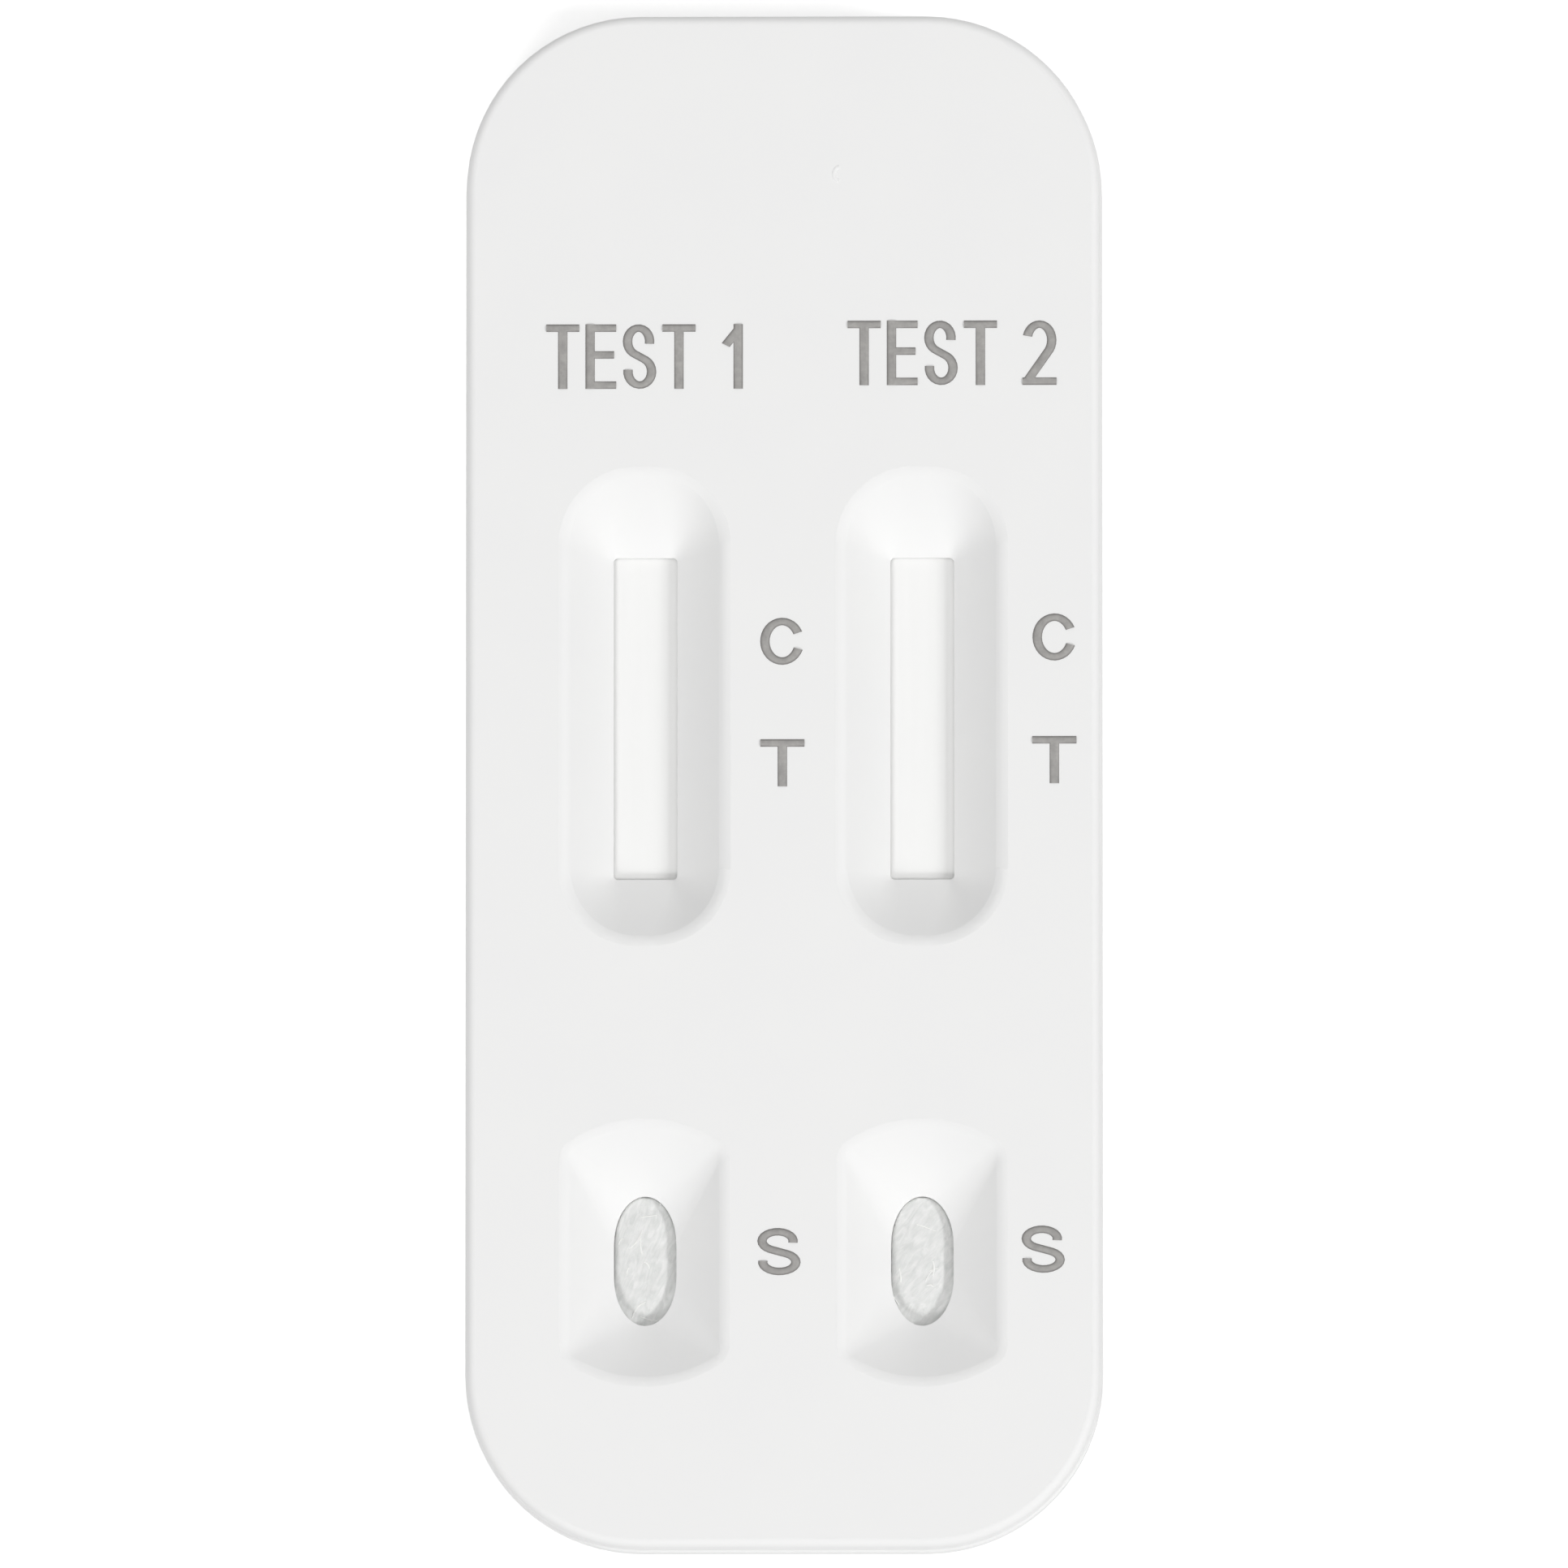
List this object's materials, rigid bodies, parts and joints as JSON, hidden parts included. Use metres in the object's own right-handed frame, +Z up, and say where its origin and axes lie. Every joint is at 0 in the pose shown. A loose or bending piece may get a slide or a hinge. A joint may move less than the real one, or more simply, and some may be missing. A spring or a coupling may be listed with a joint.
{
  "type": "lateral flow cassette",
  "caption": "Flat white moulded test cassette with rounded corners, long result windows in capsule recesses, oval sample wells in funnels, and test strips inside.",
  "frame": {"origin": "middle of the flat underside", "axes": "+Z up out of the plate, +Y along the length from the sample wells to the absorbent end, +X across to the right"},
  "size_m": [0.029, 0.07, 0.005],
  "materials": {
    "housing": "satin white moulded polystyrene",
    "card": "white PVC backing card",
    "membrane": "matt white nitrocellulose membrane",
    "sample_fibre": "white cotton and glass fibre pad",
    "glass_fibre": "white glass fibre mat",
    "blotting_fibre": "white cotton blotting board"
  },
  "bodies": {
    "root": {"upper_shell": "housing", "lower_shell": "housing", "left_backing_card": "card", "left_sample_pad": "sample_fibre", "left_conjugate_pad": "glass_fibre", "left_membrane": "membrane", "left_absorbent_pad": "blotting_fibre", "right_backing_card": "card", "right_sample_pad": "sample_fibre", "right_conjugate_pad": "glass_fibre", "right_membrane": "membrane", "right_absorbent_pad": "blotting_fibre"}
  },
  "joints": []
}
